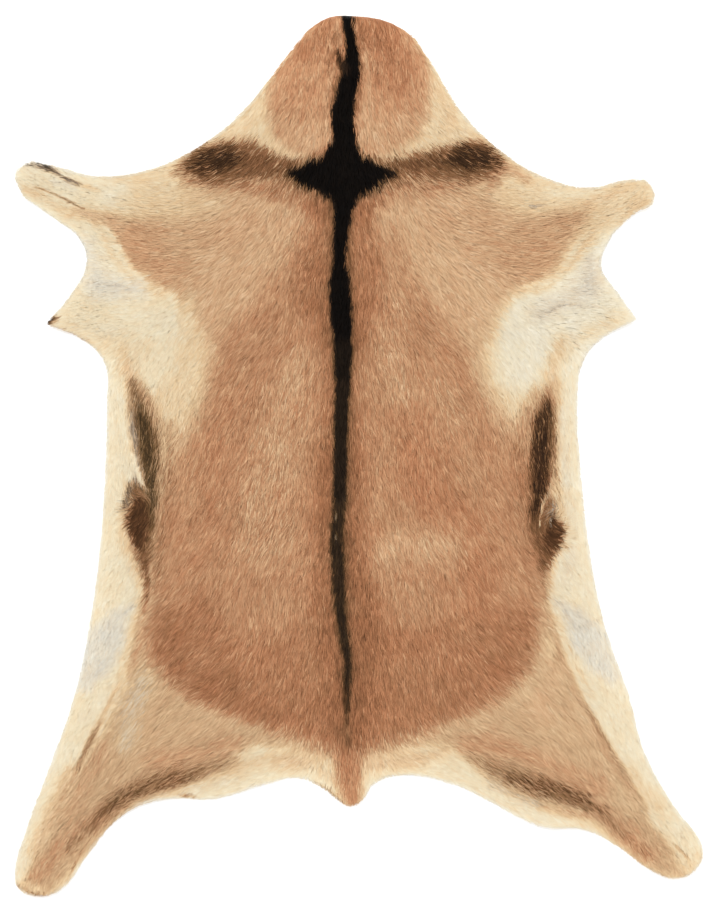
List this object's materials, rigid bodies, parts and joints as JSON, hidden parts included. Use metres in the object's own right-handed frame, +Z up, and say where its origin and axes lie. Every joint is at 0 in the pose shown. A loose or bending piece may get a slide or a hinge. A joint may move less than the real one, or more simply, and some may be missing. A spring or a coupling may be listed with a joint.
{
  "type": "goatskin",
  "caption": "Whole tanned goatskin with its short hair on, opened along the belly and lying flat, hair side up, as a small rug or throw.",
  "frame": {"origin": "on the floor, under the middle of the hide's box", "axes": "+Y from the tail to the neck, +X to the animal's right side, +Z up out of the hair side"},
  "size_m": [0.7791, 1, 0.0128],
  "materials": {
    "hair": "short goat hair, tan with black and cream markings, soft satin",
    "leather": "tanned flesh side, off-white suede"
  },
  "bodies": {
    "root": {"hide": "hair"}
  },
  "joints": []
}
